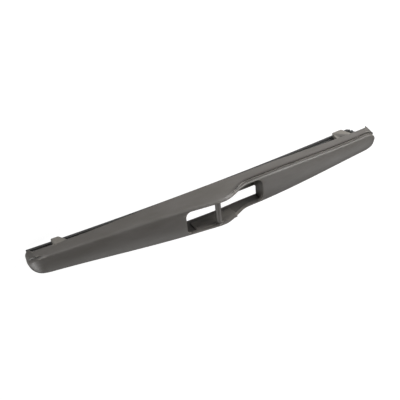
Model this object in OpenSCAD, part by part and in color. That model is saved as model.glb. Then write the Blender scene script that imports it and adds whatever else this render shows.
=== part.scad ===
// Rear wiper blade: a moulded carrier that bridges a rubber element stiffened by two steel strips.
// The origin is the middle of the cross pin. +X runs to the low half of the carrier,
// +Z points away from the glass, and the arm comes down to the pin through the window in the back.

/* [Carrier outline] */
// Length of the carrier
carrier_len = 306; // [280:2:330]
// How far the cross pin lies from the middle of the carrier
pin_offset = 7.8; // [0:0.1:14]
// Width of the back in the middle
mid_width = 25.2; // [24:0.2:30]
// Width of the back at each end
end_width = 16.2; // [15:0.2:18]
// Half of the stretch that keeps the middle width
flat_half = 30; // [20:1:40]
// Corner radius of the ends' lower edge, seen from above
end_radius = 6; // [5:0.5:6.5]
// Length over which the back's corners are rounded at the ends
corner_len = 10; // [8:0.5:12]
// How far those corners are drawn in at the tip
corner_draw = 6.8; // [6:0.1:7]
// Length over which the back rounds down to the end of the tall half
tall_round_len = 12; // [8:0.5:12]
// How far it comes down there
tall_round_drop = 8; // [4:0.5:8]
// Length over which the back rounds down to the end of the low half
low_round_len = 6; // [4:0.5:8]
// How far it comes down there
low_round_drop = 2.5; // [1:0.5:4]

/* [Carrier back line] */
// Height of the crest above the pin axis
crest_z = 3.3; // [3:0.1:5]
// Fall of the tall half, in mm for each mm of length
tall_slope = 0.136; // [0.12:0.001:0.145]
// Height of the low half just past the step
low_z = -6.4; // [-9:0.2:-5]
// Fall of the low half from its start to its end
low_fall = 7.6; // [5:0.2:9]
// Where the step down to the low half starts
step_start = 4; // [2:0.5:6]
// Length of the step
step_len = 28; // [22:1:32]

/* [Carrier wall] */
// Thickness of the side walls and the ends
wall = 2; // [1.6:0.1:2.4]
// Thickness of the back
back_wall = 2.2; // [1.8:0.1:2.6]
// Height of the side walls' lower edge in the middle
edge_z = -18; // [-18.4:0.1:-17]
// Fall of that edge at the end of the tall half
tall_edge_fall = 7.6; // [6:0.2:9]
// Fall of that edge at the end of the low half
low_edge_fall = 4.6; // [3:0.2:6]
// How far the tall half's end wall reaches below the side walls
tall_end_drop = 4; // [1:0.5:5]
// How far the low half's end wall reaches below them
low_end_drop = 2.5; // [1:0.5:5]
// Length of the ends that reach lower
drop_len = 5; // [4:0.5:6]
// Length over which the side walls rise from there
drop_ramp = 1.8; // [1:0.1:2.5]
// Outward slope of the side walls, in mm for each mm of depth
wall_slope = 0.08; // [0.04:0.01:0.1]
// Edge radius of the soft ridge on the tall half
soft_ridge = 2.6; // [2:0.1:3]
// Edge radius of the proud ridge on the low half
proud_ridge = 1.6; // [1.2:0.1:2]
// Length over which the ridge turns proud at the tall end
proud_end_len = 14; // [8:1:20]

/* [Window and cross pin] */
// End of the window on the tall half
window_start = -27.4; // [-33:0.2:-25]
// End of the window on the low half
window_end = 43.6; // [38:0.2:44]
// Width of the window
window_width = 20.8; // [20:0.2:21]
// Corner radius of the window
window_radius = 5; // [2:0.5:6]
// Diameter of the cross pin
pin_d = 4.5; // [4:0.1:5]
// Depth of the pin's ends in the cheeks
pin_seat = 1; // [0.6:0.1:1.4]
// Thickness of the cheeks beside the pin
cheek = 0.9; // [0.8:0.1:1.2]
// End of the cheeks on the tall half
cheek_start = -18.8; // [-24:0.2:-16]
// End of the cheeks on the low half
cheek_end = 16.4; // [12:0.2:20]
// Height of the cheeks' lower end
cheek_low = -13; // [-16:0.5:-10]

/* [Claws and seats] */
// Distance of each end claw from the middle of the carrier
end_claw_at = 125.5; // [118:0.5:130]
// Length of an end claw
claw_len = 11.5; // [9:0.5:13]
// Thickness of a claw
claw_wall = 2.5; // [2:0.1:2.8]
// Height of the hook that closes a claw
hook_height = 2; // [1.8:0.1:2.1]
// Chamfer at the claw's outer corner
claw_chamfer = 0.5; // [0.3:0.1:1]
// Half of the keel's length
keel_half = 66; // [62:1:72]
// Width of the keel
keel_width = 7; // [6:0.5:8]
// Height of the keel's top in the middle
keel_top = -19; // [-20:0.1:-18.8]
// Thickness of the cross walls
cross_wall_thickness = 1.6; // [1.2:0.1:2]
// Distance of the outermost cross walls from the middle of the carrier
far_wall_at = 97; // [90:1:104]

/* [Rubber element] */
// Radius of the arc that the lip follows
lip_radius = 2575; // [2300:25:3000]
// Height of the lip in the middle of the blade
lip_z = -36.1; // [-37:0.1:-35.5]
// Height of the rubber profile
rubber_height = 11.4; // [11:0.1:12]
// Width of the rubber head
head_width = 6.8; // [6.4:0.1:7.2]
// Height of the rubber head
head_height = 4.2; // [4:0.1:4.6]
// Width of the neck between head and wedge
neck_width = 1.6; // [1.2:0.1:2]
// Height of the neck
neck_height = 2.2; // [2:0.1:2.4]
// Width of the wedge at its shoulder
wedge_width = 5; // [4:0.1:5.6]
// Thickness of the lip
lip_width = 0.7; // [0.5:0.1:1]
// Gap between the rubber's free end and the carrier's end
free_end_gap = 10.5; // [8:0.5:16]
// Gap between the rubber's other end and the end wall
fixed_end_gap = 0.3; // [0.2:0.1:1]

/* [Steel strips] */
// Width of a strip
strip_width = 2.6; // [2.2:0.1:2.8]
// Thickness of a strip
strip_thickness = 0.9; // [0.7:0.1:1]
// How far a strip stands out of the head
strip_proud = 0.8; // [0.5:0.1:1]
// How much shorter a strip is at each end of the rubber
strip_short = 2; // [1:0.5:6]

/* [Fits] */
// Clearance between a strip and its groove
strip_gap = 0.1; // [0.05:0.05:0.2]
// Clearance between the rubber and what holds it
hold_gap = 0.25; // [0.2:0.05:0.4]
// Clearance between a claw's hook and the rubber's neck
neck_gap = 0.75; // [0.5:0.05:1]

/* [Hidden] */
carrier_grey = [0.36, 0.35, 0.33];
rubber_black = [0.14, 0.14, 0.14];
steel_grey = [0.66, 0.67, 0.68];

// Fine enough that the large arcs read as arcs
$fn = 48;
arc_fn = 2400;

// Ends of the carrier along X
start_x = pin_offset - carrier_len / 2;
stop_x = pin_offset + carrier_len / 2;
// Room that a cut or a joint reaches past a face
over = 0.5;
// Lower and upper end of the cut that opens the window
cut_low = (keel_top + edge_z) / 2;
cut_high = crest_z + back_wall;

// Smooth rise from 0 to 1
function smooth(t) = let (u = min(1, max(0, t))) u * u * (3 - 2 * u);
// Distance from the middle of the carrier
function reach(x) = abs(x - pin_offset);
// Half of the back's width before the ends are rounded
function full_half(x) =
    mid_width / 2
    - (mid_width - end_width) / 2 * smooth((reach(x) - flat_half) / (carrier_len / 2 - flat_half));
// How far an elliptical rounding draws its face in, over a length at the ends
function end_draw(x, length, depth) =
    let (t = (reach(x) - (carrier_len / 2 - length)) / length)
    t <= 0 ? 0 : depth * (1 - sqrt(max(0, 1 - t * t)));
// Share of the low half: 0 on the tall half, 1 past the step
function low_share(x) = smooth((x - step_start) / step_len);
// Height of the ridge
function tall_line(x) = crest_z + tall_slope * min(x, 0);
function low_line(x) = low_z - low_fall * pow(max(0, x - step_start) / (stop_x - step_start), 2);
function ridge_z(x) =
    tall_line(x) * (1 - low_share(x)) + low_line(x) * low_share(x)
    - (x < pin_offset
        ? end_draw(x, tall_round_len, tall_round_drop)
        : end_draw(x, low_round_len, low_round_drop));
// Height of the side walls' lower edge
function rim_z(x) =
    edge_z - (x < pin_offset ? tall_edge_fall : low_edge_fall) * pow(reach(x) / (carrier_len / 2), 2);
// Height of the lower edge with the ends, which reach lower
function foot_z(x) =
    rim_z(x)
    - (x < pin_offset ? tall_end_drop : low_end_drop)
        * smooth((reach(x) - (carrier_len / 2 - drop_len)) / drop_ramp);
// Radius of the ridge, and how far it stands proud of the wall
proud_angle = 50;
crown_angle = 75;
function proud_share(x) = max(low_share(x), smooth((start_x + proud_end_len - x) / proud_end_len));
function ridge_r(x) = soft_ridge + (proud_ridge - soft_ridge) * proud_share(x);
function undercut(x) = proud_angle * proud_share(x);
function flare(x) = ridge_r(x) * (1 - cos(undercut(x)));

// Half width of the outer wall at a height: the ends are drawn in more at the back than at the foot
function wall_y(x, z) =
    let (top = ridge_z(x),
         foot = foot_z(x),
         rise = min(1, max(0, (z - foot) / (top - foot))),
         foot_draw = end_draw(x, end_radius, end_radius),
         back_draw = end_draw(x, corner_len, corner_draw))
    full_half(x) - foot_draw * (1 - rise) - back_draw * rise + wall_slope * (top - z);

// Points of the outer section from the lower edge to the middle of the back
ridge_steps = 6;
crown_steps = 5;
function outer_half(x) =
    let (r = ridge_r(x),
         top = ridge_z(x),
         low = undercut(x),
         side = wall_y(x, top) + flare(x) - r,
         crown_y = side + r * cos(crown_angle),
         crown_z = top - r + r * sin(crown_angle),
         crown = crown_y / tan(crown_angle) / 2,
         crease_z = top - r - r * sin(low))
    concat(
        [[wall_y(x, foot_z(x)), foot_z(x)]],
        [[wall_y(x, (foot_z(x) + crease_z) / 2), (foot_z(x) + crease_z) / 2]],
        [for (i = [0:ridge_steps])
            let (a = -low + (crown_angle + low) * i / ridge_steps)
            [side + r * cos(a), top - r + r * sin(a)]],
        [for (i = [1:crown_steps])
            let (y = crown_y * (1 - i / crown_steps))
            [y, crown_z + crown * (1 - pow(y / crown_y, 2))]]);

// Points of the inner section from the lower edge to the middle of the roof, whose corner is a chord
inner_corner = 1.5;
corner_angle = 45;
roof_crown = 0.8;
function roof_z(x) = ridge_z(x) - back_wall;
function inner_y(x, z) = wall_y(x, z) - wall;
function inner_half(x) =
    let (top = roof_z(x), y = inner_y(x, top), low = foot_z(x) - over)
    [[inner_y(x, low), low],
     [inner_y(x, top - inner_corner), top - inner_corner],
     [y - inner_corner * (1 - cos(corner_angle)), top - inner_corner * (1 - sin(corner_angle))],
     [y - inner_corner, top],
     [0, top + roof_crown]];

// Places of the sections along X
end_steps = 10;
function rounded_end(edge, towards) =
    [for (i = [0:end_steps - 1]) edge + towards * corner_len * (1 - cos(90 * i / end_steps))];
function span(from, to, count) = [for (i = [0:count]) from + (to - from) * i / count];
function reversed(list) = [for (i = [len(list) - 1:-1:0]) list[i]];

cavity_start = start_x + wall;
cavity_stop = stop_x - wall;
body_start = start_x + corner_len;
body_stop = stop_x - corner_len;
proud_stop = start_x + proud_end_len;
step_stop = step_start + step_len;
function without_last(list) = [for (i = [0:len(list) - 2]) list[i]];
body_places = concat(
    without_last(span(body_start, proud_stop, 2)),
    without_last(span(proud_stop, 0, 9)),
    without_last(span(0, step_start, 2)),
    without_last(span(step_start, step_stop, 16)),
    span(step_stop, body_stop, 10));
outer_places = concat(rounded_end(start_x, 1), body_places, reversed(rounded_end(stop_x, -1)));
inner_places = concat(
    without_last(span(cavity_start, body_start, 5)),
    body_places,
    reversed(without_last(span(cavity_stop, body_stop, 5))));

// Whole section as points in space, from the near lower edge over the back to the far one
function section(x, half) =
    let (n = len(half))
    concat(
        [for (p = half) [x, p[0], p[1]]],
        [for (i = [n - 2:-1:0]) [x, -half[i][0], half[i][1]]]);

// Solid between sections, with flat ends
module loft(sections) {
    n = len(sections[0]);
    rows = len(sections);
    sides = [for (i = [0:rows - 2], j = [0:n - 1])
        let (a = i * n + j, b = i * n + (j + 1) % n)
        each [[a, a + n, b + n], [a, b + n, b]]];
    first = [[for (j = [0:n - 1]) j]];
    last = [[for (j = [n - 1:-1:0]) (rows - 1) * n + j]];
    points = [for (s = sections) each s];
    polyhedron(points = points, faces = concat(sides, first, last), convexity = 10);
}

// Height of the lip along the blade
function lip_at(x) = lip_z - lip_radius + sqrt(pow(lip_radius, 2) - pow(x - pin_offset, 2));

// The place on the lip's arc at a distance from the middle, with +Z across the arc
module on_arc(x) {
    translate([pin_offset, 0, lip_z - lip_radius])
        rotate([0, x / lip_radius * 180 / PI, 0])
            translate([0, 0, lip_radius])
                children();
}

// A profile drawn as [width, height above the lip], swept along the arc between two places
module arc_sweep(from, to) {
    start_angle = (from - pin_offset) / lip_radius * 180 / PI;
    sweep_angle = (to - from) / lip_radius * 180 / PI;
    translate([pin_offset, 0, lip_z - lip_radius])
        rotate([0, -90, -90])
            rotate([0, 0, start_angle])
                rotate_extrude(angle = sweep_angle, $fn = arc_fn)
                    translate([lip_radius, 0])
                        mirror([1, -1])
                            children();
}

// Heights on the rubber profile, measured from the lip
head_low = rubber_height - head_height;
wedge_top = head_low - neck_height;
groove_low = head_low + (head_height - strip_thickness - 2 * strip_gap) / 2;
groove_high = groove_low + strip_thickness + 2 * strip_gap;
strip_out = head_width / 2 + strip_proud;
strip_in = strip_out - strip_width;
groove_in = strip_in - strip_gap;

// Ends of the rubber along X, whose head leans outwards there
end_lean = rubber_height * carrier_len / 2 / lip_radius;
rubber_start = cavity_start + fixed_end_gap + end_lean;
rubber_stop = stop_x - free_end_gap;

// Inside and outside of a claw, and how far its hook reaches in
claw_in = strip_out + hold_gap;
claw_out = claw_in + claw_wall;
hook_in = neck_width / 2 + neck_gap;
hook_top = head_low - hold_gap;
hook_low = hook_top - hook_height;
seat_low = rubber_height + hold_gap;

// One side of a claw: down from the wall, then in under the rubber head
module claw_profile(root_y, root_h) {
    polygon([
        [root_y, root_h],
        [claw_out, hook_low + claw_chamfer],
        [claw_out - claw_chamfer, hook_low],
        [hook_in, hook_low + claw_chamfer],
        [hook_in, hook_top],
        [claw_in, hook_top],
        [claw_in, seat_low],
        [root_y - claw_wall, root_h]]);
}

// Side view of a claw, rounded at its free corners
claw_round = 2.5;
module claw_outline(length, root_h) {
    translate([-length / 2, hook_low + claw_round])
        square([length, root_h - hook_low - claw_round]);
    translate([-length / 2 + claw_round, hook_low])
        square([length - 2 * claw_round, claw_round + over]);
    for (side = [-1, 1])
        translate([side * (length / 2 - claw_round), hook_low + claw_round])
            circle(r = claw_round);
}

// A pair of claws across the rubber, at a distance from the middle of the carrier
module claw_pair(at, length, root_y, root_h) {
    on_arc(at)
        intersection() {
            for (side = [0, 1])
                mirror([0, side, 0])
                    rotate([90, 0, 90])
                        linear_extrude(height = length, center = true)
                            claw_profile(root_y, root_h);
            rotate([90, 0, 0])
                linear_extrude(height = 2 * (root_y + over), center = true)
                    claw_outline(length, root_h);
        }
}

// A flat outline across the blade, given for one side, as a plate of some length along X
module plate(half, length) {
    rotate([90, 0, 90])
        linear_extrude(height = length, center = true)
            polygon(concat(half, [for (p = reversed(half)) [-p[0], p[1]]]));
}

// A wall across the cavity, with a narrower foot below the side walls
module cross_wall(x, foot_half, foot_z) {
    shoulder_z = rim_z(x) + over;
    top_z = roof_z(x);
    translate([x, 0, 0])
        plate([
            [foot_half, min(foot_z, shoulder_z)],
            [foot_half, shoulder_z],
            [inner_y(x, shoulder_z) + over, shoulder_z],
            [inner_y(x, top_z) + over, top_z - inner_corner],
            [inner_y(x, top_z) - inner_corner, top_z + over]],
            cross_wall_thickness);
}

// Plan of the window: a rounded rectangle
module window_plan() {
    half = window_width / 2;
    translate([window_start, -half + window_radius])
        square([window_end - window_start, 2 * (half - window_radius)]);
    translate([window_start + window_radius, -half])
        square([window_end - window_start - 2 * window_radius, 2 * half]);
    for (x = [window_start + window_radius, window_end - window_radius], side = [-1, 1])
        translate([x, side * (half - window_radius)])
            circle(r = window_radius);
}

// The cheeks that thicken the side walls beside the pin
module cheeks() {
    top_z = roof_z(0) - inner_corner;
    length = cheek_end - cheek_start;
    for (side = [0, 1])
        mirror([0, side, 0])
            translate([cheek_start + length / 2, 0, 0])
                rotate([90, 0, 90])
                    linear_extrude(height = length, center = true)
                        polygon([
                            [inner_y(0, cheek_low) - cheek, cheek_low],
                            [inner_y(0, cheek_low) + wall / 2, cheek_low],
                            [inner_y(0, top_z) + wall / 2, top_z],
                            [inner_y(0, top_z) - cheek, top_z]]);
}

module carrier_shell() {
    difference() {
        loft([for (x = outer_places) section(x, outer_half(x))]);
        loft([for (x = inner_places) section(x, inner_half(x))]);
    }
    cheeks();
}

// The pin that the arm hooks on, fused to both cheeks
module cross_pin() {
    rotate([90, 0, 0])
        cylinder(d = pin_d, h = window_width + 2 * pin_seat, center = true);
}

// The bar above the rubber, held by the cross walls
module keel() {
    keel_high = keel_top - lip_z;
    arc_sweep(pin_offset - keel_half, pin_offset + keel_half)
        translate([-keel_width / 2, seat_low])
            square([keel_width, keel_high - seat_low]);
}

module cross_walls() {
    bulkheads = [window_start - cross_wall_thickness / 2, window_end + cross_wall_thickness / 2];
    keel_ends = [for (side = [-1, 1]) pin_offset + side * (keel_half - cross_wall_thickness / 2)];
    claw_walls = [for (side = [-1, 1]) pin_offset + side * end_claw_at];
    far_walls = [for (side = [-1, 1]) pin_offset + side * far_wall_at];
    for (x = concat(bulkheads, keel_ends))
        cross_wall(x, keel_width / 2, lip_at(x) + seat_low + over);
    for (x = claw_walls)
        cross_wall(x, claw_in, lip_at(x) + seat_low);
    for (x = far_walls)
        cross_wall(x, head_width, rim_z(x) + over);
}

module end_claws() {
    for (side = [-1, 1]) {
        x = pin_offset + side * end_claw_at;
        claw_pair(side * end_claw_at, claw_len, wall_y(x, rim_z(x)), rim_z(x) + over - lip_at(x));
    }
}

module carrier() {
    color(carrier_grey) {
        difference() {
            carrier_shell();
            translate([0, 0, cut_low])
                linear_extrude(height = cut_high - cut_low)
                    window_plan();
        }
        cross_pin();
        cross_walls();
        keel();
        end_claws();
    }
}

module rubber_element() {
    color(rubber_black)
        arc_sweep(rubber_start, rubber_stop)
            polygon([
                [-lip_width / 2, 0],
                [lip_width / 2, 0],
                [wedge_width / 2, wedge_top],
                [neck_width / 2, wedge_top],
                [neck_width / 2, head_low],
                [head_width / 2, head_low],
                [head_width / 2, groove_low],
                [groove_in, groove_low],
                [groove_in, groove_high],
                [head_width / 2, groove_high],
                [head_width / 2, rubber_height],
                [-head_width / 2, rubber_height],
                [-head_width / 2, groove_high],
                [-groove_in, groove_high],
                [-groove_in, groove_low],
                [-head_width / 2, groove_low],
                [-head_width / 2, head_low],
                [-neck_width / 2, head_low],
                [-neck_width / 2, wedge_top],
                [-wedge_width / 2, wedge_top]]);
}

module steel_strip(side) {
    color(steel_grey)
        arc_sweep(rubber_start + strip_short, rubber_stop - strip_short)
            translate([side > 0 ? strip_in : -strip_out, groove_low + strip_gap])
                square([strip_width, strip_thickness]);
}

carrier();
rubber_element();
steel_strip(1);  // steel_strip_left
steel_strip(-1);  // steel_strip_right
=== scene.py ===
"""Looks of a rear wiper blade: a moulded carrier with its wiping rubber and steel strips.

Lengths are in millimetres until a mesh is made, and then in metres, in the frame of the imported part.
"""

import logging
import math
from dataclasses import dataclass, field
from enum import Enum

import bmesh
import bpy
from mathutils import Matrix, Vector


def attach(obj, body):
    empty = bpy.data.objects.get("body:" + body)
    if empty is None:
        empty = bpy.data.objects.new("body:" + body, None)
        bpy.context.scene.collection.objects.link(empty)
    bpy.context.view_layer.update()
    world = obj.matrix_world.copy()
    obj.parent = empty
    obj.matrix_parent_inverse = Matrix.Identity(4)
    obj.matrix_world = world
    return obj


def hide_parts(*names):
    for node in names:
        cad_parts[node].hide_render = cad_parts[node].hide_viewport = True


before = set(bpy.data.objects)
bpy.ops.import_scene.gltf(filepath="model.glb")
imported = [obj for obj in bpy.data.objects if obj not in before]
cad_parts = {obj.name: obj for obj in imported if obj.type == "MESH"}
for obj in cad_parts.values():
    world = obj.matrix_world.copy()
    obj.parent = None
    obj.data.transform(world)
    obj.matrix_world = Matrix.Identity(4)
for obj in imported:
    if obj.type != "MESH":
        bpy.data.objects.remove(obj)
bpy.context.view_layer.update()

log = logging.getLogger("wiper_blade")

MM = 0.001
Point = tuple[float, float, float]
Flat = tuple[float, float]


class Slot(Enum):
    """Material slots of the record."""

    CARRIER = "carrier_plastic"
    RUBBER = "wiper_rubber"
    STRIP = "strip_steel"


class Cut(Enum):
    """What one solid does to another."""

    UNION = "UNION"
    DIFFERENCE = "DIFFERENCE"
    INTERSECT = "INTERSECT"


def linear(hex_colour: str) -> tuple[float, float, float, float]:
    """Turn an sRGB hex value to linear light.

    Args:
        hex_colour: six hex digits.

    Returns:
        Red, green, blue and alpha.
    """
    parts = [int(hex_colour[i:i + 2], 16) / 255 for i in (0, 2, 4)]
    light = [c / 12.92 if c <= 0.04045 else ((c + 0.055) / 1.055) ** 2.4 for c in parts]
    return (light[0], light[1], light[2], 1.0)


def smooth(t: float) -> float:
    """Rise smoothly from 0 to 1."""
    u = min(1.0, max(0.0, t))
    return u * u * (3 - 2 * u)


def span(start: float, stop: float, count: int) -> list[float]:
    """Divide a stretch evenly into count steps, both ends included."""
    return [start + (stop - start) * i / count for i in range(count + 1)]


def add_node(tree: bpy.types.NodeTree, kind: str, settings: dict | None = None,
             links: dict | None = None) -> bpy.types.Node:
    """Add a node with its settings and links.

    Args:
        tree: the node tree.
        kind: the node's type.
        settings: attributes by name, and socket values by socket name or number.
        links: output sockets to link in, by the input socket's name or number.

    Returns:
        The node.
    """
    node = tree.nodes.new(kind)
    for name, value in (settings or {}).items():
        if isinstance(name, str) and hasattr(node, name):
            setattr(node, name, value)
        else:
            node.inputs[name].default_value = value
    for name, socket in (links or {}).items():
        tree.links.new(socket, node.inputs[name])
    return node


def new_object(name: str, points: list[Point], faces: list[list[int]]) -> bpy.types.Object:
    """Make an object at the origin from points in millimetres.

    Args:
        name: the object's name.
        points: the corners.
        faces: corner numbers of each face.

    Returns:
        The object, with its normals pointing outwards.
    """
    mesh = bpy.data.meshes.new(name)
    mesh.from_pydata([(x * MM, y * MM, z * MM) for x, y, z in points], [], faces)
    shape = bmesh.new()
    shape.from_mesh(mesh)
    bmesh.ops.recalc_face_normals(shape, faces=shape.faces)
    shape.to_mesh(mesh)
    shape.free()
    thing = bpy.data.objects.new(name, mesh)
    bpy.context.scene.collection.objects.link(thing)
    return thing


def take_result(thing: bpy.types.Object) -> None:
    """Replace an object's mesh by the result of its modifiers, and remove them."""
    bpy.context.view_layer.update()
    graph = bpy.context.evaluated_depsgraph_get()
    mesh = bpy.data.meshes.new_from_object(thing.evaluated_get(graph))
    thing.modifiers.clear()
    thing.data = mesh


def combine(body: bpy.types.Object, tools: list[bpy.types.Object], cut: Cut) -> None:
    """Join other solids to a body or cut them out of it, and delete them.

    Args:
        body: the solid that changes.
        tools: the solids that join it or cut it.
        cut: what they do.
    """
    for tool in tools:
        modifier = body.modifiers.new(cut.value.lower(), "BOOLEAN")
        modifier.operation = cut.value
        modifier.solver = "EXACT"
        modifier.object = tool
        take_result(body)
        bpy.data.objects.remove(tool)


def soften(thing: bpy.types.Object, radius: float) -> None:
    """Round an object's edges and shade it smoothly.

    Args:
        thing: the object.
        radius: radius of the rounding.
    """
    bevel = thing.modifiers.new("edge_round", "BEVEL")
    bevel.width = radius * MM
    bevel.segments = 2
    bevel.limit_method = "ANGLE"
    bevel.angle_limit = math.radians(40)
    take_result(thing)
    thing.data.shade_smooth()
    weighted = thing.modifiers.new("flat_faces_first", "WEIGHTED_NORMAL")
    weighted.weight = 80
    take_result(thing)


def cut_along(bar: bpy.types.Object, sections: int) -> None:
    """Divide a prism from X 0 to X 1 into equal stretches."""
    shape = bmesh.new()
    shape.from_mesh(bar.data)
    for x in span(0, MM, sections)[1:-1]:
        every = list(shape.verts) + list(shape.edges) + list(shape.faces)
        bmesh.ops.bisect_plane(shape, geom=every, plane_co=(x, 0, 0), plane_no=(1, 0, 0))
    shape.to_mesh(bar.data)
    shape.free()


def new_tree(name: str, sizes: dict[str, float | int]) -> tuple:
    """Start a Geometry Nodes tree with a geometry and sizes as inputs.

    Args:
        name: the tree's name.
        sizes: the inputs' names and first values; a whole number makes a count.

    Returns:
        The tree, its input sockets by name, and a function that ends it with a geometry socket.
    """
    tree = bpy.data.node_groups.new(name, "GeometryNodeTree")
    tree.interface.new_socket("Geometry", in_out="INPUT", socket_type="NodeSocketGeometry")
    tree.interface.new_socket("Geometry", in_out="OUTPUT", socket_type="NodeSocketGeometry")
    for label, value in sizes.items():
        kind = "NodeSocketInt" if isinstance(value, int) else "NodeSocketFloat"
        tree.interface.new_socket(label, in_out="INPUT", socket_type=kind).default_value = value
    tree.interface.new_socket("Material", in_out="INPUT", socket_type="NodeSocketMaterial")
    given = {socket.name: socket for socket in add_node(tree, "NodeGroupInput").outputs}

    def made(geometry: bpy.types.NodeSocket) -> None:
        """End the tree: realize the instances and set the material."""
        real = add_node(tree, "GeometryNodeRealizeInstances", {}, {0: geometry})
        dressed = add_node(tree, "GeometryNodeSetMaterial", {}, {"Geometry": real.outputs[0],
                                                                 "Material": given["Material"]})
        add_node(tree, "NodeGroupOutput", {}, {0: dressed.outputs[0]})

    return tree, given, made


def maths(tree: bpy.types.NodeTree, operation: str, *values: bpy.types.NodeSocket) -> bpy.types.NodeSocket:
    """Add a Math node on some sockets and return its result."""
    return add_node(tree, "ShaderNodeMath", {"operation": operation}, dict(enumerate(values))).outputs[0]


def run_tree(thing: bpy.types.Object, tree: bpy.types.NodeTree, sizes: dict[str, float | int],
             material: bpy.types.Material) -> None:
    """Run a Geometry Nodes tree on an object and keep the result as its mesh.

    Args:
        thing: the object.
        tree: the tree.
        sizes: values for the tree's inputs, by name.
        material: the material of the result.
    """
    values = {**sizes, "Material": material}
    modifier = thing.modifiers.new(tree.name, "NODES")
    modifier.node_group = tree
    for item in tree.interface.items_tree:
        if item.in_out == "INPUT" and item.name in values:
            modifier[item.identifier] = values[item.name]
    take_result(thing)


def loft(name: str, sections: list[list[Point]]) -> bpy.types.Object:
    """Join closed sections into one solid with flat ends.

    Args:
        name: the object's name.
        sections: loops with equally many points.

    Returns:
        The solid.
    """
    count = len(sections[0])
    points = [p for section in sections for p in section]
    faces = []
    for row in range(len(sections) - 1):
        for i in range(count):
            a, b = row * count + i, row * count + (i + 1) % count
            faces.append([a, a + count, b + count, b])
    faces.append(list(range(count)))
    faces.append([(len(sections) - 1) * count + i for i in reversed(range(count))])
    return new_object(name, points, faces)


def prism(name: str, outline: list[Flat], axis: str, start: float, stop: float) -> bpy.types.Object:
    """Extrude a flat outline along an axis.

    Args:
        name: the object's name.
        outline: points across the axis, in the order of the two other axes.
        axis: X, Y or Z.
        start: where the solid starts along the axis.
        stop: where it stops.

    Returns:
        The solid.
    """
    def place(p: Flat, along: float) -> Point:
        """Put a flat point at its place along the axis."""
        return {"X": (along, p[0], p[1]), "Y": (p[0], along, p[1]), "Z": (p[0], p[1], along)}[axis]

    return loft(name, [[place(p, along) for p in outline] for along in (start, stop)])


def arc_points(centre: Flat, radius: float, start: float, stop: float, steps: int) -> list[Flat]:
    """Points on a circular arc, with its angles in degrees."""
    return [(centre[0] + radius * math.cos(math.radians(a)), centre[1] + radius * math.sin(math.radians(a)))
            for a in span(start, stop, steps)]


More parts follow.
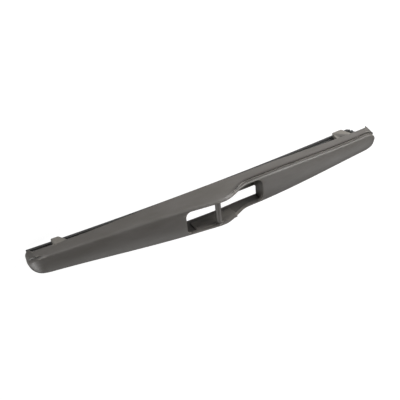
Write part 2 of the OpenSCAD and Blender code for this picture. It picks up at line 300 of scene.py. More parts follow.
@dataclass(frozen=True)
class LipArc:
    """The large arc that the wiping lip follows.

    Attributes:
        middle: place of the arc's top along X.
        lip_z: height of the lip there.
        radius: radius of the lip's arc.
    """

    middle: float = 7.8
    lip_z: float = -36.1
    radius: float = 2575.0

    def height(self, x: float) -> float:
        """Height of the lip at a place along X."""
        return self.lip_z - self.radius + math.sqrt(self.radius ** 2 - (x - self.middle) ** 2)

    def sweep(self, bar: bpy.types.Object, ends: Flat, sections: int,
              material: bpy.types.Material) -> bpy.types.Object:
        """Stretch a straight bar along the arc with Geometry Nodes.

        Args:
            bar: a prism from X 0 to X 1, drawn with the lip at height 0.
            ends: where it starts and stops along the blade.
            sections: how many stretches it is divided into.
            material: its material.

        Returns:
            The same object, bent to the arc.
        """
        cut_along(bar, sections)
        tree, given, made = new_tree("sweep_on_arc", {"Start": 0.0, "Length": 0.1, **self.inputs()})
        split = add_node(tree, "ShaderNodeSeparateXYZ", {}, {0: add_node(tree, "GeometryNodeInputPosition").outputs[0]})
        share = add_node(tree, "ShaderNodeMath", {"operation": "MULTIPLY", 1: 1 / MM}, {0: split.outputs["X"]})
        along = maths(tree, "MULTIPLY_ADD", share.outputs[0], given["Length"], given["Start"])
        turn = maths(tree, "DIVIDE", maths(tree, "SUBTRACT", along, given["Middle"]), given["Radius"])
        place = self.place(tree, given, turn, split.outputs["Z"], split.outputs["Y"])
        bent = add_node(tree, "GeometryNodeSetPosition", {}, {"Geometry": given["Geometry"], "Position": place})
        made(bent.outputs[0])
        run_tree(bar, tree, {"Start": ends[0] * MM, "Length": (ends[1] - ends[0]) * MM, **self.inputs()}, material)
        return bar

    def pair(self, claw: bpy.types.Object, along: float, material: bpy.types.Material) -> bpy.types.Object:
        """Set a claw and its mirror image on the arc with Geometry Nodes.

        Args:
            claw: the claw on the +Y side, drawn with the lip at height 0 and X 0.
            along: distance of the pair from the arc's top.
            material: its material.

        Returns:
            The same object, with both claws.
        """
        tree, given, made = new_tree("claw_pair", {"Along": 0.0, **self.inputs()})
        far = add_node(tree, "GeometryNodeTransform", {"Scale": (1.0, -1.0, 1.0)}, {"Geometry": given["Geometry"]})
        far = add_node(tree, "GeometryNodeFlipFaces", {}, {0: far.outputs[0]})
        both = add_node(tree, "GeometryNodeJoinGeometry", {}, {0: given["Geometry"]})
        tree.links.new(far.outputs[0], both.inputs[0])
        turn = maths(tree, "DIVIDE", given["Along"], given["Radius"])
        zero = add_node(tree, "ShaderNodeValue").outputs[0]
        lean = add_node(tree, "ShaderNodeCombineXYZ", {}, {"Y": turn})
        place = self.place(tree, given, turn, zero, zero)
        point = add_node(tree, "GeometryNodePoints", {"Count": 1}, {"Position": place})
        pair = add_node(tree, "GeometryNodeInstanceOnPoints", {}, {"Points": point.outputs[0],
                                                                   "Instance": both.outputs[0],
                                                                   "Rotation": lean.outputs[0]})
        made(pair.outputs[0])
        run_tree(claw, tree, {"Along": along * MM, **self.inputs()}, material)
        return claw

    def inputs(self) -> dict[str, float]:
        """The arc's sizes as inputs of a tree, in metres."""
        return {"Middle": self.middle * MM, "Lip": self.lip_z * MM, "Radius": self.radius * MM}

    def place(self, tree: bpy.types.NodeTree, given: dict, turn: bpy.types.NodeSocket, height: bpy.types.NodeSocket,
              width: bpy.types.NodeSocket) -> bpy.types.NodeSocket:
        """Add the nodes that put a point on the arc.

        Args:
            tree: the node tree.
            given: its input sockets by name.
            turn: the angle along the arc.
            height: the height over the lip.
            width: the place across the blade.

        Returns:
            The point's place.
        """
        out = maths(tree, "ADD", height, given["Radius"])
        drop = maths(tree, "SUBTRACT", given["Lip"], given["Radius"])
        x = maths(tree, "MULTIPLY_ADD", maths(tree, "SINE", turn), out, given["Middle"])
        z = maths(tree, "MULTIPLY_ADD", maths(tree, "COSINE", turn), out, drop)
        return add_node(tree, "ShaderNodeCombineXYZ", {}, {"X": x, "Y": width, "Z": z}).outputs[0]


@dataclass(frozen=True)
class RubberProfile:
    """Section of the wiping rubber, measured up from the lip."""

    height: float = 11.4
    head_width: float = 6.8
    head_height: float = 4.2
    neck_width: float = 1.6
    neck_height: float = 2.2
    wedge_width: float = 5.0
    lip_width: float = 0.7
    strip_width: float = 2.6
    strip_thickness: float = 0.9
    strip_proud: float = 0.8
    strip_gap: float = 0.1
    hold_gap: float = 0.25
    soft: float = 0.25

    @property
    def head_low(self) -> float:
        """Underside of the head."""
        return self.height - self.head_height

    @property
    def wedge_top(self) -> float:
        """Shoulder of the wedge."""
        return self.head_low - self.neck_height

    @property
    def groove_low(self) -> float:
        """Lower face of the strip's groove."""
        return self.head_low + (self.head_height - self.strip_thickness - 2 * self.strip_gap) / 2

    @property
    def groove_high(self) -> float:
        """Upper face of the strip's groove."""
        return self.groove_low + self.strip_thickness + 2 * self.strip_gap

    @property
    def strip_out(self) -> float:
        """Outer edge of a strip."""
        return self.head_width / 2 + self.strip_proud

    @property
    def strip_in(self) -> float:
        """Inner edge of a strip."""
        return self.strip_out - self.strip_width

    @property
    def seat(self) -> float:
        """Height at which the carrier rests on the head."""
        return self.height + self.hold_gap

    @property
    def held_half(self) -> float:
        """Half width between the claws that hold the head and the strips."""
        return self.strip_out + self.hold_gap


@dataclass
class Carrier:
    """The moulded carrier: shell, window, cross pin, cross walls, keel and claws.

    Attributes are the sizes of the moulding, in millimetres. A rounding at the ends is given as its length
    along the blade and how far it draws its face in at the tip. The proud ridge and the groove outside it are
    given as steps inwards and upwards from the wall's top.
    """

    arc: LipArc = field(default_factory=LipArc)
    rubber: RubberProfile = field(default_factory=RubberProfile)
    length: float = 306.0
    mid_width: float = 25.2
    end_width: float = 16.2
    flat_half: float = 30.0
    end_radius: float = 6.0
    corner: Flat = (10.0, 6.8)
    tall_round: Flat = (12.0, 8.0)
    low_round: Flat = (6.0, 2.5)
    crest_z: float = 3.3
    tall_slope: float = 0.136
    low_z: float = -6.4
    low_fall: float = 7.6
    step_start: float = 4.0
    step_len: float = 28.0
    wall: float = 2.0
    back_wall: float = 2.2
    edge_z: float = -18.0
    tall_edge_fall: float = 7.6
    low_edge_fall: float = 4.6
    tall_end_drop: float = 4.0
    low_end_drop: float = 2.5
    drop_len: float = 5.0
    drop_ramp: float = 1.8
    wall_slope: float = 0.08
    soft_ridge: float = 2.6
    proud_ridge: float = 1.45
    proud_centre: Flat = (-2.7, -1.0)
    proud_groove: tuple[Flat, ...] = ((0.26, -2.95), (0.45, -2.65), (0.62, -2.35), (0.7, -2.1), (0.4, -2.35),
                                      (0.1, -2.8), (-0.35, -3.05), (-0.85, -3.0), (-1.15, -2.6), (-1.22, -2.1))
    proud_room: float = 3.0
    rim_fade: float = 0.6
    proud_end_len: float = 14.0
    crown_angle: float = 75.0
    window: Flat = (-27.4, 43.6)
    window_width: float = 20.8
    window_radius: float = 5.0
    pin_d: float = 4.5
    pin_seat: float = 1.0
    pin_fillet: float = 0.8
    cheek: float = 0.9
    cheek_span: Flat = (-18.8, 16.4)
    cheek_low: float = -13.0
    inner_corner: float = 1.5
    roof_crown: float = 0.8
    claw_at: float = 125.5
    claw_len: float = 11.5
    claw_wall: float = 2.5
    claw_round: float = 2.5
    claw_chamfer: float = 0.5
    claw_roots: Flat = (5.4, 8.8)
    claw_slant: float = 4.2
    hook_height: float = 2.0
    neck_gap: float = 0.75
    keel_half: float = 66.0
    keel_width: float = 7.0
    keel_top: float = -19.0
    cross_wall: float = 1.6
    far_wall_at: float = 97.0
    over: float = 0.5
    edge_round: float = 0.3

    @property
    def start(self) -> float:
        """End of the tall half along X."""
        return self.arc.middle - self.length / 2

    @property
    def stop(self) -> float:
        """End of the low half along X."""
        return self.arc.middle + self.length / 2

    def reach(self, x: float) -> float:
        """Distance from the middle of the carrier."""
        return abs(x - self.arc.middle)

    def end_draw(self, x: float, length: float, depth: float) -> float:
        """How far an elliptical rounding draws its face in, over a length at the ends."""
        t = (self.reach(x) - (self.length / 2 - length)) / length
        return 0.0 if t <= 0 else depth * (1 - math.sqrt(max(0.0, 1 - t * t)))

    def full_half(self, x: float) -> float:
        """Half of the back's width before the ends are rounded."""
        rise = smooth((self.reach(x) - self.flat_half) / (self.length / 2 - self.flat_half))
        return self.mid_width / 2 - (self.mid_width - self.end_width) / 2 * rise

    def low_share(self, x: float) -> float:
        """Share of the low half: 0 on the tall half, 1 past the step."""
        return smooth((x - self.step_start) / self.step_len)

    def proud_share(self, x: float) -> float:
        """How far the ridge has turned from soft to proud."""
        return max(self.low_share(x), smooth((self.start + self.proud_end_len - x) / self.proud_end_len))

    def ridge_z(self, x: float) -> float:
        """Height of the ridge between back and side wall."""
        tall = self.crest_z + self.tall_slope * min(x, 0.0)
        run = max(0.0, x - self.step_start) / (self.stop - self.step_start)
        low = self.low_z - self.low_fall * run ** 2
        share = self.low_share(x)
        rounding = self.tall_round if x < self.arc.middle else self.low_round
        return tall * (1 - share) + low * share - self.end_draw(x, *rounding)

    def rim_z(self, x: float) -> float:
        """Height of the side walls' lower edge."""
        fall = self.tall_edge_fall if x < self.arc.middle else self.low_edge_fall
        return self.edge_z - fall * (self.reach(x) / (self.length / 2)) ** 2

    def foot_z(self, x: float) -> float:
        """Height of the lower edge with the ends, which reach lower."""
        drop = self.tall_end_drop if x < self.arc.middle else self.low_end_drop
        into_end = self.reach(x) - (self.length / 2 - self.drop_len)
        return self.rim_z(x) - drop * smooth(into_end / self.drop_ramp)

    def wall_y(self, x: float, z: float) -> float:
        """Half width over the side walls at a height; the ends are drawn in more at the back."""
        top, foot = self.ridge_z(x), self.foot_z(x)
        rise = min(1.0, max(0.0, (z - foot) / (top - foot)))
        draw = self.end_draw(x, self.end_radius, self.end_radius) * (1 - rise) + self.end_draw(x, *self.corner) * rise
        return self.full_half(x) - draw + self.wall_slope * (top - z)

    def inner_y(self, x: float, z: float) -> float:
        """Half width between the side walls at a height."""
        return self.wall_y(x, z) - self.wall

    def roof_z(self, x: float) -> float:
        """Height of the roof inside."""
        return self.ridge_z(x) - self.back_wall

    def stretch(self, x: float) -> float:
        """How much wider a step across the blade is than the same step square to the slanting outline."""
        near, far = x - self.over / 10, x + self.over / 10
        slant = (self.wall_y(far, self.ridge_z(far)) - self.wall_y(near, self.ridge_z(near))) / (far - near)
        return min(math.hypot(1.0, slant), self.wall_y(x, self.ridge_z(x)) / self.proud_room)

    def edge(self, x: float) -> list[Flat]:
        """Edge between side wall and back, turning from the soft ridge to the groove and the proud ridge."""
        bead_steps = 10
        y, top, share, wider = self.wall_y(x, self.ridge_z(x)), self.ridge_z(x), self.proud_share(x), self.stretch(x)
        proud = [*self.proud_groove, *arc_points(self.proud_centre, self.proud_ridge, -20, self.crown_angle, bead_steps)]
        inside = 1 - self.end_draw(x, self.corner[0], self.rim_fade)
        proud = [(inwards * wider if inwards < 0 else inwards * inside, up) for inwards, up in proud]
        r = self.soft_ridge
        soft = arc_points((-r, -r), r, 0, self.crown_angle, len(proud) - 1)
        return [(y + a * (1 - share) + c * share, top + b * (1 - share) + d * share)
                for (a, b), (c, d) in zip(soft, proud)]

    def outer_half(self, x: float) -> list[Flat]:
        """Outer section from the lower edge to the middle of the back."""
        wall_steps, crown_steps = 6, 12
        edge = self.edge(x)
        crown_y, crown_z = edge[-1]
        crown = crown_y / math.tan(math.radians(self.crown_angle)) / 2
        foot = self.foot_z(x)
        heights = [foot, *span(foot + 2 * self.edge_round, edge[0][1], wall_steps)[:-1]]
        wall = [(self.wall_y(x, z), z) for z in heights]
        back = [(y, crown_z + crown * (1 - (y / crown_y) ** 2)) for y in span(crown_y, 0, crown_steps)][1:]
        return wall + edge + back

    def inner_half(self, x: float) -> list[Flat]:
        """Inner section from below the lower edge to the middle of the roof."""
        top, low, r = self.roof_z(x), self.foot_z(x) - self.over, self.inner_corner
        y = self.inner_y(x, top)
        wall = [(self.inner_y(x, z), z) for z in span(low, top - r, 5)]
        corner = arc_points((y - r, top - r), r, 0, 90, 5)[1:]
        roof = [(w, top + self.roof_crown * (1 - (w / (y - r)) ** 2)) for w in span(y - r, 0, 4)][1:]
        return wall + corner + roof

    def section(self, x: float, half: list[Flat]) -> list[Point]:
        """Whole section in space, from one lower edge over the back to the other."""
        near = [(x, y, z) for y, z in half]
        return near + [(x, -y, z) for y, z in reversed(half[:-1])]

    def body_places(self) -> list[float]:
        """Places of the sections between the rounded ends."""
        marks = [self.start + self.corner[0], self.start + self.proud_end_len, 0.0, self.step_start,
                 self.step_start + self.step_len, self.stop - self.corner[0]]
        places = []
        for low, high, pitch in zip(marks, marks[1:], (1.0, 3.0, 1.0, 0.8, 3.0)):
            places += span(low, high, math.ceil((high - low) / pitch))[:-1]
        return places + marks[-1:]

    def rounded_end(self, edge: float, towards: int) -> list[float]:
        """Places of the sections on a rounded end, from its tip inwards."""
        steps = 20
        turns = [math.radians(90 * i / steps) for i in range(steps)]
        return [edge + towards * self.corner[0] * (1 - math.cos(turn)) for turn in turns]

    def inner_places(self) -> list[float]:
        """Places of the sections of the hollow."""
        body = self.body_places()
        first = span(self.start + self.wall, body[0], 10)[:-1]
        last = span(self.stop - self.wall, body[-1], 10)[:-1]
        return first + body + last[::-1]

    def shell(self) -> bpy.types.Object:
        """The open shell: back, side walls and end walls, with the window cut out."""
        outer = self.rounded_end(self.start, 1) + self.body_places() + self.rounded_end(self.stop, -1)[::-1]
        shell = loft("carrier_moulding", [self.section(x, self.outer_half(x)) for x in outer])
        hollow = loft("hollow", [self.section(x, self.inner_half(x)) for x in self.inner_places()])
        combine(shell, [hollow], Cut.DIFFERENCE)
        combine(shell, self.cheeks(), Cut.UNION)
        combine(shell, [self.window_cutter()], Cut.DIFFERENCE)
        return shell

    def window_cutter(self) -> bpy.types.Object:
        """The solid that cuts the window."""
        (start, stop), half, r = self.window, self.window_width / 2, self.window_radius
        side = arc_points((stop - r, half - r), r, 0, 90, 12) + arc_points((start + r, half - r), r, 90, 180, 12)
        outline = side + [(x, -y) for x, y in reversed(side)]
        return prism("window_cutter", outline, "Z", (self.keel_top + self.edge_z) / 2, self.crest_z + self.back_wall)

    def cheeks(self) -> list[bpy.types.Object]:
        """The cheeks that thicken the side walls beside the pin."""
        low, top = self.cheek_low, self.roof_z(0) - self.inner_corner
        outline = [(self.inner_y(0, low) - self.cheek, low), (self.inner_y(0, low) + self.wall / 2, low),
                   (self.inner_y(0, top) + self.wall / 2, top), (self.inner_y(0, top) - self.cheek, top)]
        return [prism("cheek", [(side * y, z) for y, z in outline], "X", *self.cheek_span) for side in (-1, 1)]

    def pin(self) -> bpy.types.Object:
        """The cross pin, with a small fillet where it meets each cheek."""
        cheek_y, r = self.window_width / 2, self.pin_d / 2
        side = [(-cheek_y - self.pin_seat, r + self.pin_fillet)]
        side += [(-cheek_y + self.pin_fillet * (1 + math.cos(math.radians(a))),
                  r + self.pin_fillet * (1 - math.sin(math.radians(a)))) for a in span(180, 90, 6)]
        side += [(-y, r) for y, r in reversed(side)]
        turns = [math.radians(a) for a in span(0, 360, 48)[:-1]]
        rings = [[(r * math.cos(t), y, r * math.sin(t)) for t in turns] for y, r in side]
        return loft("pin", rings)

    def cross(self, x: float, foot_half: float, foot_z: float) -> bpy.types.Object:
        """A wall across the hollow, with a narrower foot below the side walls.

        Args:
            x: its place along the blade.
            foot_half: half of the foot's width.
            foot_z: height of the foot's lower edge.

        Returns:
            The wall.
        """
        shoulder, top = self.rim_z(x) + self.over, self.roof_z(x)
        half = [(foot_half, foot_z), (foot_half, shoulder)] if foot_z < shoulder else []
        half += [(self.inner_y(x, shoulder) + self.over, shoulder),
                 (self.inner_y(x, top) + self.over, top - self.inner_corner),
                 (self.inner_y(x, top) - self.inner_corner, top + self.over)]
        outline = half + [(-y, z) for y, z in reversed(half)]
        return prism("cross", outline, "X", x - self.cross_wall / 2, x + self.cross_wall / 2)

    def crosses(self) -> list[bpy.types.Object]:
        """All cross walls: at the window's ends, the keel's ends, the claws and between them."""
        middle, half, seat = self.arc.middle, self.cross_wall / 2, self.rubber.seat
        on_keel = [self.window[0] - half, self.window[1] + half,
                   middle - self.keel_half + half, middle + self.keel_half - half]
        walls = [self.cross(x, self.keel_width / 2, self.arc.height(x) + seat + self.over) for x in on_keel]
        for side in (-1, 1):
            x = middle + side * self.claw_at
            walls.append(self.cross(x, self.rubber.held_half, self.arc.height(x) + seat))
            x = middle + side * self.far_wall_at
            walls.append(self.cross(x, self.rubber.head_width, self.rim_z(x) + self.over))
        return walls

    def keel(self, plastic: bpy.types.Material) -> bpy.types.Object:
        """The bar over the rubber, under the window."""
        low, high, half = self.rubber.seat, self.keel_top - self.arc.lip_z, self.keel_width / 2
        bar = prism("keel", [(half, low), (half, high), (-half, high), (-half, low)], "X", 0, 1)
        middle = self.arc.middle
        return self.arc.sweep(bar, (middle - self.keel_half, middle + self.keel_half), 24, plastic)

    def claws(self, side: int, plastic: bpy.types.Material) -> bpy.types.Object:
        """The pair of claws at one end.

        Args:
            side: -1 for the tall half, 1 for the low half.
            plastic: the carrier's material.

        Returns:
            Both claws of the pair, at their place.
        """
        x = self.arc.middle + side * self.claw_at
        root_y, root_h = self.wall_y(x, self.rim_z(x)), self.rim_z(x) + self.over - self.arc.height(x)
        held, claw_out = self.rubber.held_half, self.rubber.held_half + self.claw_wall
        hook_in = self.rubber.neck_width / 2 + self.neck_gap
        hook_top = self.rubber.head_low - self.rubber.hold_gap
        hook_low = hook_top - self.hook_height
        profile = [(root_y, root_h), (claw_out, hook_low + self.claw_chamfer), (claw_out - self.claw_chamfer, hook_low),
                   (hook_in, hook_low + self.claw_chamfer), (hook_in, hook_top), (held, hook_top),
                   (held, self.rubber.seat), (root_y - self.claw_wall, root_h)]
        claw = prism("claw", profile, "X", -self.claw_len, self.claw_len)
        r, half, top = self.claw_round, self.claw_len / 2, root_h + self.over
        root = self.claw_roots[side > 0]
        tip = [*arc_points((half - r, hook_low + r), r, 0, -90, 8),
               *arc_points((self.claw_slant - root + r, hook_low + r), r, -90, -150, 8)]
        outline = [(side * along, up) for along, up in [(half, top), *tip, (-root, root_h), (-root, top)]]
        combine(claw, [prism("claw_outline", outline, "Y", -self.over, root_y + self.over)], Cut.INTERSECT)
        return self.arc.pair(claw, side * self.claw_at, plastic)

    def build(self, plastic: bpy.types.Material) -> bpy.types.Object:
        """The whole moulding, with its edges softened.

        Args:
            plastic: its material.

        Returns:
            The carrier at its place.
        """
        moulding = self.shell()
        claws = [self.claws(side, plastic) for side in (-1, 1)]
        combine(moulding, [self.pin(), self.keel(plastic), *self.crosses(), *claws], Cut.UNION)
        soften(moulding, self.edge_round)
        return moulding


@dataclass
class WipingElement:
    """The extruded rubber and the two steel strips in its grooves."""

    carrier: Carrier
    free_end_gap: float = 11.3
    fixed_end_gap: float = 0.3
    strip_short: float = 2.0
    sections: int = 120
    rubber_edge: float = 0.06

    @property
    def ends(self) -> Flat:
        """Ends of the rubber along the blade; its head leans outwards there."""
        lean = self.carrier.rubber.height * self.carrier.length / 2 / self.carrier.arc.radius
        return (self.carrier.start + self.carrier.wall + self.fixed_end_gap + lean,
                self.carrier.stop - self.free_end_gap)

    def rubber(self, material: bpy.types.Material) -> bpy.types.Object:
        """The rubber, with its head, grooves, neck, wedge and lip."""
        p = self.carrier.rubber
        groove_in = p.strip_in - p.strip_gap
        half = [(p.lip_width / 2, 0), (p.wedge_width / 2, p.wedge_top - p.soft),
                (p.wedge_width / 2 - p.soft, p.wedge_top), (p.neck_width / 2, p.wedge_top),
                (p.neck_width / 2, p.head_low), (p.head_width / 2 - p.soft, p.head_low),
                (p.head_width / 2, p.head_low + p.soft), (p.head_width / 2, p.groove_low), (groove_in, p.groove_low),
                (groove_in, p.groove_high), (p.head_width / 2, p.groove_high), (p.head_width / 2, p.height - p.soft),
                (p.head_width / 2 - p.soft, p.height)]
        outline = half + [(-y, h) for y, h in reversed(half)]
        rubber = self.carrier.arc.sweep(prism("wiping_rubber", outline, "X", 0, 1), self.ends, self.sections, material)
        soften(rubber, self.rubber_edge)
        return rubber

    def strip(self, name: str, side: int, material: bpy.types.Material) -> bpy.types.Object:
        """One steel strip, with its long edges slightly rounded.

        Args:
            name: the piece's name.
            side: 1 for the +Y side, -1 for the other.
            material: its material.

        Returns:
            The strip.
        """
        p = self.carrier.rubber
        low, r = p.groove_low + p.strip_gap, p.strip_thickness / 4
        outline = [(side * y, low + h) for y, h in
                   ((p.strip_in, 0), (p.strip_out - r, 0), (p.strip_out, r), (p.strip_out, p.strip_thickness - r),
                    (p.strip_out - r, p.strip_thickness), (p.strip_in, p.strip_thickness))]
        ends = (self.ends[0] + self.strip_short, self.ends[1] - self.strip_short)
        return self.carrier.arc.sweep(prism(name, outline, "X", 0, 1), ends, self.sections, material)


class Finish:
    """A procedural material in object coordinates; each finish names itself and builds its own surface."""

    name: str = "finish"

    def surface(self, tree: bpy.types.NodeTree, place: bpy.types.NodeSocket) -> bpy.types.Node:
        """Add the nodes of the surface and return its shader."""
        raise NotImplementedError

    def material(self) -> bpy.types.Material:
        """Build the material."""
        made = bpy.data.materials.new(self.name)
        made.use_nodes = True
        tree = made.node_tree
        tree.nodes.clear()
        shader = self.surface(tree, add_node(tree, "ShaderNodeTexCoord").outputs["Object"])
        add_node(tree, "ShaderNodeOutputMaterial", {}, {"Surface": shader.outputs[0]})
        return made

    @staticmethod
    def pattern(tree: bpy.types.NodeTree, place: bpy.types.NodeSocket, size_mm: float, drawn: float = 1.0,
                detail: float = 2.0) -> bpy.types.NodeSocket:
        """Add a noise of a real size, drawn out along the blade.

        Args:
            tree: the node tree.
            place: object coordinates.
            size_mm: size of the pattern across the blade.
            drawn: how many times longer it is along the blade.
            detail: octaves of the noise.

        Returns:
            The noise from 0 to 1.
        """
        scale = 1 / (size_mm * MM)
        fitted = add_node(tree, "ShaderNodeMapping", {"Scale": (scale / drawn, scale, scale)}, {"Vector": place})
        return add_node(tree, "ShaderNodeTexNoise", {"Scale": 1.0, "Detail": detail},
                        {"Vector": fitted.outputs[0]}).outputs["Fac"]

    @staticmethod
    def between(tree: bpy.types.NodeTree, value: bpy.types.NodeSocket, given: Flat, made: Flat) -> bpy.types.NodeSocket:
        """Map a range of values onto another, without passing its ends."""
        return add_node(tree, "ShaderNodeMapRange", {"From Min": given[0], "From Max": given[1], "To Min": made[0],
                                                     "To Max": made[1]}, {"Value": value}).outputs[0]

    @staticmethod
    def overlay(tree: bpy.types.NodeTree, share: bpy.types.NodeSocket, under: bpy.types.NodeSocket,
                colour: str) -> bpy.types.NodeSocket:
        """Lay a hex colour over another colour by a share."""
        return add_node(tree, "ShaderNodeMix", {"data_type": "RGBA", 7: linear(colour)},
                        {0: share, 6: under}).outputs[2]

    @staticmethod
    def blend(tree: bpy.types.NodeTree, share: bpy.types.NodeSocket, first: str, second: str) -> bpy.types.NodeSocket:
        """Blend two hex colours by a share."""
        ramp = add_node(tree, "ShaderNodeValToRGB", {}, {"Fac": share})
        for stop, colour in zip(ramp.color_ramp.elements, (first, second)):
            stop.color = linear(colour)
        return ramp.outputs["Color"]


@dataclass(frozen=True)
class MouldedPlastic(Finish):
    """Glass-filled thermoplastic from a fine-grained mould.

    It gives the eye a warm dark grey with a soft, wide sheen, a faint grain and slight cloudiness along the flow.
    Convex edges are painted lighter, a painted highlight with some edge wear, and creases are painted darker, a
    painted shade. The grain is drawn coarser than the real 0.1 mm, which would be finer than a pixel.
    """

    name: str = "moulded_plastic"
    colour: str = "504d49"
    cloud: str = "565350"
    roughness: Flat = (0.42, 0.52)
    grain_mm: float = 0.3
    cloud_mm: float = 9.0
    grain_depth_mm: float = 0.02
    scuff_mm: float = 0.5
    # Painted highlight with some edge wear: colour laid on convex edges such as the proud ridge.
    edge_highlight_and_wear: str = "716d67"
    # Painted shade: colour laid in concave creases such as the groove beside the ridge.
    painted_crease_shade: str = "262421"
    # Pointiness ranges that mask the painted highlight on convex edges and the painted shade in creases.
    convex: Flat = (0.51, 0.6)
    concave: Flat = (0.495, 0.46)

    def surface(self, tree: bpy.types.NodeTree, place: bpy.types.NodeSocket) -> bpy.types.Node:
        """Build the cloudy, grained and lightly scuffed plastic, with a painted highlight on convex edges and painted
        shade in creases.
        """
        clouds = self.between(tree, self.pattern(tree, place, self.cloud_mm, 3.0), (0.35, 0.65), (0, 1))
        grain = self.pattern(tree, place, self.grain_mm, 1.0, 3.0)
        scuffs = self.between(tree, self.pattern(tree, place, self.scuff_mm, 12.0, 1.0), (0.68, 0.75), (0, 0.06))
        rough = maths(tree, "ADD", self.between(tree, grain, (0.3, 0.7), self.roughness), scuffs)
        bump = add_node(tree, "ShaderNodeBump", {"Strength": 0.5, "Distance": self.grain_depth_mm * MM},
                        {"Height": grain})
        # Pointiness picks out convex edges for the painted highlight and creases for the painted shade.
        bend = add_node(tree, "ShaderNodeNewGeometry").outputs["Pointiness"]
        plain = self.blend(tree, clouds, self.colour, self.cloud)
        # Painted highlight, with some edge wear, laid on the convex edges.
        edge_highlight_and_wear = self.overlay(tree, self.between(tree, bend, self.convex, (0, 1)), plain, self.edge_highlight_and_wear)
        # Painted shade laid in the creases, over the painted highlight on the edges.
        with_painted_light = self.overlay(tree, self.between(tree, bend, self.concave, (0, 1)), edge_highlight_and_wear, self.painted_crease_shade)
        return add_node(tree, "ShaderNodeBsdfPrincipled", {"IOR": 1.5},
                        {"Base Color": with_painted_light, "Roughness": rough, "Normal": bump.outputs["Normal"]})


@dataclass(frozen=True)
class ExtrudedRubber(Finish):
    """Natural rubber, extruded and chlorinated.

    It gives the eye a near-black matte surface with faint drawn lines and a pale bloom here and there.
    """

    name: str = "wiper_rubber"
    colour: str = "1c1c1c"
    bloom: str = "2b2a29"
    roughness: Flat = (0.55, 0.75)
    line_mm: float = 0.25
    line_depth_mm: float = 0.01
    bloom_mm: float = 6.0

    def surface(self, tree: bpy.types.NodeTree, place: bpy.types.NodeSocket) -> bpy.types.Node:
        """Build the drawn and slightly bloomed rubber."""
        lines = self.pattern(tree, place, self.line_mm, 60.0)
        bloom = self.between(tree, self.pattern(tree, place, self.bloom_mm, 2.0), (0.45, 0.7), (0, 1))
        bump = add_node(tree, "ShaderNodeBump", {"Strength": 0.5, "Distance": self.line_depth_mm * MM},
                        {"Height": lines})
        return add_node(tree, "ShaderNodeBsdfPrincipled", {"IOR": 1.52},
                        {"Base Color": self.blend(tree, bloom, self.colour, self.bloom),
                         "Roughness": self.between(tree, lines, (0.3, 0.7), self.roughness),
                         "Normal": bump.outputs["Normal"]})


@dataclass(frozen=True)
class SpringSteel(Finish):
    """Cold-rolled spring steel strip, darkened by its heat treatment.

    It gives the eye a dull dark metal, drawn out along the blade.
    """

    name: str = "spring_steel"
    colour: str = "3a3b3c"
    stain: str = "4a4947"
    roughness: Flat = (0.42, 0.58)
    line_mm: float = 0.12
    line_depth_mm: float = 0.004
    stain_mm: float = 4.0

    def surface(self, tree: bpy.types.NodeTree, place: bpy.types.NodeSocket) -> bpy.types.Node:
        """Build the rolled and stained metal."""
        lines = self.pattern(tree, place, self.line_mm, 80.0)
        stain = self.between(tree, self.pattern(tree, place, self.stain_mm, 4.0), (0.4, 0.65), (0, 1))
        bump = add_node(tree, "ShaderNodeBump", {"Strength": 0.4, "Distance": self.line_depth_mm * MM},
                        {"Height": lines})
        return add_node(tree, "ShaderNodeBsdfPrincipled", {"Metallic": 1.0, "Anisotropic": 0.4},
                        {"Base Color": self.blend(tree, stain, self.colour, self.stain),
                         "Roughness": self.between(tree, lines, (0.3, 0.7), self.roughness),
                         "Normal": bump.outputs["Normal"]})


@dataclass(frozen=True)
class StudioFloor(Finish):
    """White sweep that the blade lies on.

    It gives the eye pure white and the blade's soft shadow.
    """

    name: str = "studio_white"
    glow: float = 0.88
    mirrored: float = 0.3
    albedo: float = 0.25

    def surface(self, tree: bpy.types.NodeTree, place: bpy.types.NodeSocket) -> bpy.types.Node:
        """Build a plain surface that glows for the camera and in reflections only."""
        path = add_node(tree, "ShaderNodeLightPath")
        glossy = self.between(tree, path.outputs["Is Glossy Ray"], (0, 1), (0, self.mirrored))
        seen = maths(tree, "MAXIMUM", path.outputs["Is Camera Ray"], glossy)
        strength = self.between(tree, seen, (0, 1), (0, self.glow))
        glow = add_node(tree, "ShaderNodeEmission", {"Color": (1, 1, 1, 1)}, {"Strength": strength})
        plain = add_node(tree, "ShaderNodeBsdfDiffuse", {"Color": (self.albedo, self.albedo, self.albedo, 1)})
        return add_node(tree, "ShaderNodeAddShader", {}, {0: glow.outputs[0], 1: plain.outputs[0]})


@dataclass(frozen=True)
class PhotoCamera:
    """The camera at the photograph's viewing angle.

    Attributes:
        place: its place, in millimetres.
        right: the direction that is right in the picture.
        toward: the direction from the object to the camera.
        focal_px: focal length in pixels of the 400 pixel frame.
    """

    place: Point = (-208.71, 364.45, 428.42)
    right: Point = (0.8801, -0.0841, 0.4674)
    toward: Point = (-0.3326, 0.5933, 0.7332)
    focal_px: float = 782.0
    frame_px: float = 400.0
    sensor_mm: float = 36.0

    def build(self) -> bpy.types.Object:
        """Create the camera and make it the scene's own."""
        back = Vector(self.toward).normalized()
        right = Vector(self.right)
        right = (right - back * right.dot(back)).normalized()
        up = back.cross(right)
        data = bpy.data.cameras.new("camera")
        data.sensor_width = self.sensor_mm
        data.lens = self.sensor_mm * self.focal_px / self.frame_px
        data.clip_start = 0.01
        data.clip_end = 20.0
        camera = bpy.data.objects.new("camera", data)
        bpy.context.scene.collection.objects.link(camera)
        turned = Matrix((right, up, back)).transposed().to_4x4()
        camera.matrix_world = Matrix.Translation(Vector(self.place) * MM) @ turned
        bpy.context.scene.camera = camera
        return camera


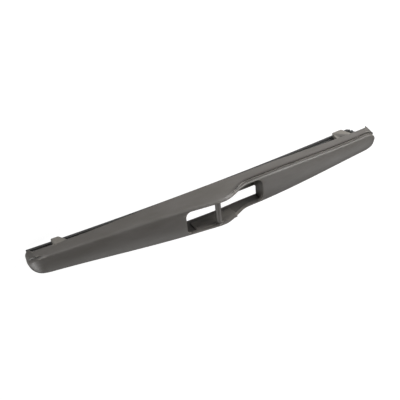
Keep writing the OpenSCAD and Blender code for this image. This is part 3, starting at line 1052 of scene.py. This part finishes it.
@dataclass(frozen=True)
class Studio:
    """Plain white studio with soft lamps.

    Attributes:
        world: strength of the even light from all round.
        lamps: place in metres, size in metres and power in watts of each soft lamp, all aimed at the pin.
        floor_z: height of the floor, just under the lip, in millimetres.
        floor_half: half of the floor's width, in millimetres.
    """

    world: float = 0.1
    lamps: tuple[tuple[Point, float, float], ...] = (
        ((-0.398, 0.690, 0.070), 0.35, 3.3), ((-0.645, -0.452, 0.139), 0.35, 2.2), ((0.0, -0.693, 0.4), 0.35, 1.1),
        ((0.531, -0.445, 0.4), 0.35, 1.15), ((0.25, 0.3, 0.05), 0.2, 1.6), ((0.2, 0.15, 0.3), 0.2, 0.69),
        ((-0.5, -0.12, 0.0), 0.1, 0.55))
    floor_z: float = -41.5
    floor_half: float = 2000.0

    def build(self) -> None:
        """Create the floor, the lamps and the world."""
        half, z = self.floor_half, self.floor_z
        floor = new_object("floor", [(-half, -half, z), (half, -half, z), (half, half, z), (-half, half, z)],
                           [[0, 1, 2, 3]])
        floor.data.materials.append(StudioFloor().material())
        world = bpy.data.worlds.new("studio")
        world.use_nodes = True
        world.node_tree.nodes.clear()
        seen = add_node(world.node_tree, "ShaderNodeLightPath").outputs["Is Camera Ray"]
        strength = Finish.between(world.node_tree, seen, (0, 1), (self.world, 1.0))
        light = add_node(world.node_tree, "ShaderNodeBackground", {"Color": (1, 1, 1, 1)}, {"Strength": strength})
        add_node(world.node_tree, "ShaderNodeOutputWorld", {}, {"Surface": light.outputs[0]})
        bpy.context.scene.world = world
        for i, (place, size, power) in enumerate(self.lamps):
            lamp = bpy.data.lights.new(f"lamp_{i}", "AREA")
            lamp.energy = power
            lamp.size = size
            holder = bpy.data.objects.new(f"lamp_{i}", lamp)
            bpy.context.scene.collection.objects.link(holder)
            holder.location = place
            holder.rotation_euler = (-Vector(place)).to_track_quat("-Z", "Y").to_euler()
        bpy.context.scene.view_settings.view_transform = "Standard"


def hand_over(thing: bpy.types.Object, node: str, material: bpy.types.Material) -> None:
    """Dress a finished piece, put it in its node's place and report it.

    Args:
        thing: the piece.
        node: the CAD node that it replaces.
        material: its material.
    """
    thing.data.materials.clear()
    thing.data.materials.append(material)
    thing.data.polygons.foreach_set("material_index", [0] * len(thing.data.polygons))
    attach(thing, "root")
    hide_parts(node)
    log.info("%s: %d faces", thing.name, len(thing.data.polygons))


def main() -> None:
    """Build the pieces in order and report each."""
    PhotoCamera().build()
    plastic, rubber, steel = (finish.material() for finish in (MouldedPlastic(), ExtrudedRubber(), SpringSteel()))
    carrier = Carrier()
    element = WipingElement(carrier)
    hand_over(carrier.build(plastic), "carrier", plastic)
    hand_over(element.rubber(rubber), "rubber_element", rubber)
    hand_over(element.strip("spring_strip_left", 1, steel), "steel_strip_left", steel)
    hand_over(element.strip("spring_strip_right", -1, steel), "steel_strip_right", steel)
    Studio().build()


if __name__ == "__main__":
    logging.basicConfig(level=logging.INFO)
    main()
